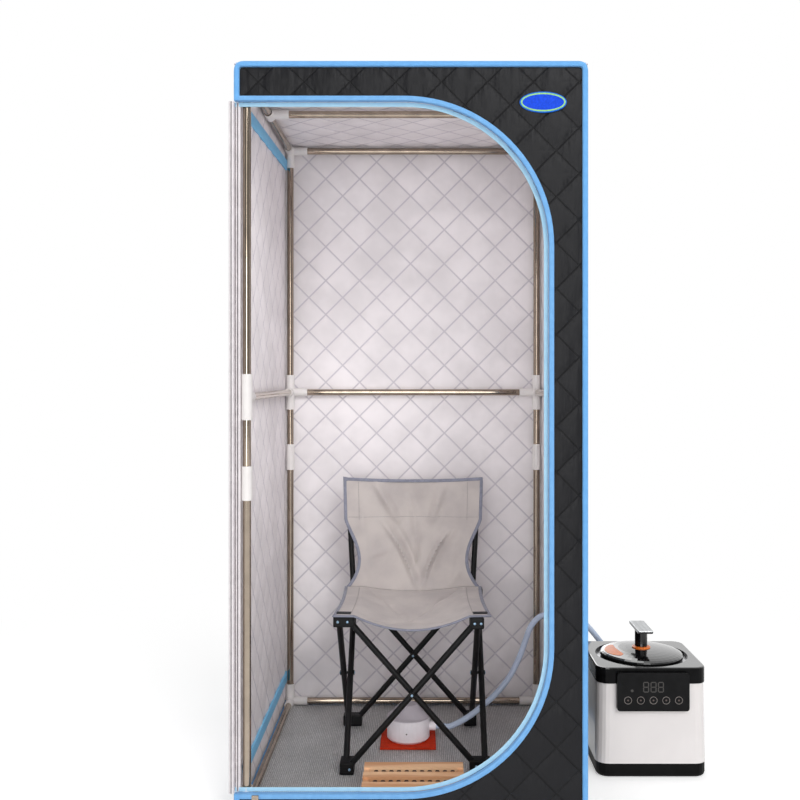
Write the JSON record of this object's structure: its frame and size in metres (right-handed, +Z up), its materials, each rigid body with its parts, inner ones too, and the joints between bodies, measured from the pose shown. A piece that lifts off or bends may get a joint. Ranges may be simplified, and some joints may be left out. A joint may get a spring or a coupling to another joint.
{
  "type": "portable steam sauna",
  "caption": "Upright quilted fabric steam cabin on a plug-together tube frame, with zipped door, folding chair, steam pot, hose, diffuser and foot roller.",
  "frame": {"origin": "underside of the cabin's floor mat, at its middle", "axes": "+Z up, -Y out of the doorway, +X to the right, towards the steam pot"},
  "size_m": [1.156, 0.8053, 1.72],
  "materials": {
    "quilted_fabric": "black quilted shell with a pale grey quilted lining",
    "floor_mat": "grey ribbed foil mat",
    "frame_steel": "bright steel tube",
    "white_plastic": "moulded, satin",
    "chair_tube": "black powder coat",
    "chair_joint": "moulded, matte",
    "grey_canvas": "woven canvas with dark piping",
    "black_gloss": "piano black",
    "white_gloss": "gloss white",
    "handle_metal": "bright",
    "clear_hose": "translucent silicone",
    "frosted_plastic": "frosted",
    "orange_pad": "matte felt-like silicone",
    "wood": "oiled",
    "dark_wood": "stained"
  },
  "bodies": {
    "cabin": {"left_wall": "quilted_fabric", "right_wall": "quilted_fabric", "back_wall": "quilted_fabric", "roof_panel": "quilted_fabric", "front_panel": "quilted_fabric", "floor_mat": "floor_mat", "upright_front_left": "frame_steel", "upright_front_right": "frame_steel", "upright_back_left": "frame_steel", "upright_back_right": "frame_steel", "top_bar_left": "frame_steel", "top_bar_right": "frame_steel", "top_bar_back": "frame_steel", "top_bar_front": "frame_steel", "top_bar_middle": "frame_steel", "mid_bar_left": "frame_steel", "mid_bar_right": "frame_steel", "mid_bar_back": "frame_steel", "bottom_bar_left": "frame_steel", "bottom_bar_right": "frame_steel", "bottom_bar_back": "frame_steel", "top_corner_front_left": "white_plastic", "top_corner_front_right": "white_plastic", "top_corner_back_left": "white_plastic", "top_corner_back_right": "white_plastic", "pot_base": "black_gloss", "pot_rim": "black_gloss", "control_panel": "black_gloss", "pot_body": "white_gloss", "pot_tank": "frame_steel", "steam_hose": "clear_hose", "hose_port": "white_plastic", "diffuser_base": "white_plastic", "diffuser_pad": "orange_pad", "foot_roller_frame": "wood"},
    "door": {"door_flap": "quilted_fabric"},
    "zip_slider": {"zip_slider": "frame_steel"},
    "chair": {"chair_front_outer_tube": "chair_tube", "chair_front_inner_tube": "chair_tube", "chair_right_outer_tube": "chair_tube", "chair_right_inner_tube": "chair_tube", "chair_back_outer_tube": "chair_tube", "chair_back_inner_tube": "chair_tube", "chair_left_outer_tube": "chair_tube", "chair_left_inner_tube": "chair_tube", "chair_foot_front_left": "chair_joint", "chair_foot_front_right": "chair_joint", "chair_foot_back_left": "chair_joint", "chair_foot_back_right": "chair_joint", "chair_joint_front_left": "chair_joint", "chair_joint_front_right": "chair_joint", "chair_joint_back_left": "chair_joint", "chair_joint_back_right": "chair_joint", "chair_seat": "grey_canvas", "chair_back": "grey_canvas"},
    "pot_lid": {"pot_lid": "black_gloss", "pot_handle": "handle_metal"},
    "diffuser_lid": {"diffuser_lid": "frosted_plastic"},
    "foot_roller_1": {"foot_roller_1": "dark_wood"},
    "foot_roller_2": {"foot_roller_2": "dark_wood"}
  },
  "joints": [
    {"name": "door_swing", "type": "hinge", "parent": "cabin", "child": "door", "pos_m": [-0.3985, -0.402, 0.85], "axis": [0, 0, 1], "range_deg": [0, 270]},
    {"name": "zip_travel", "type": "slide", "parent": "cabin", "child": "zip_slider", "axis": [1, 0, 0], "range_m": [0, 0.3]},
    {"name": "chair_lift_out", "type": "slide", "parent": "cabin", "child": "chair", "axis": [0, 0, 1], "range_m": [0, 0.2]},
    {"name": "pot_lid_lift", "type": "slide", "parent": "cabin", "child": "pot_lid", "axis": [0, 0, 1], "range_m": [0, 0.1]},
    {"name": "diffuser_lid_lift", "type": "slide", "parent": "cabin", "child": "diffuser_lid", "axis": [0, 0, 1], "range_m": [0, 0.08]},
    {"name": "foot_roller_1_spin", "type": "hinge", "parent": "cabin", "child": "foot_roller_1", "pos_m": [0.005, -0.3035, 0.0418], "axis": [1, 0, 0], "continuous": true},
    {"name": "foot_roller_2_spin", "type": "hinge", "parent": "cabin", "child": "foot_roller_2", "pos_m": [0.005, -0.2445, 0.0418], "axis": [1, 0, 0], "continuous": true}
  ]
}
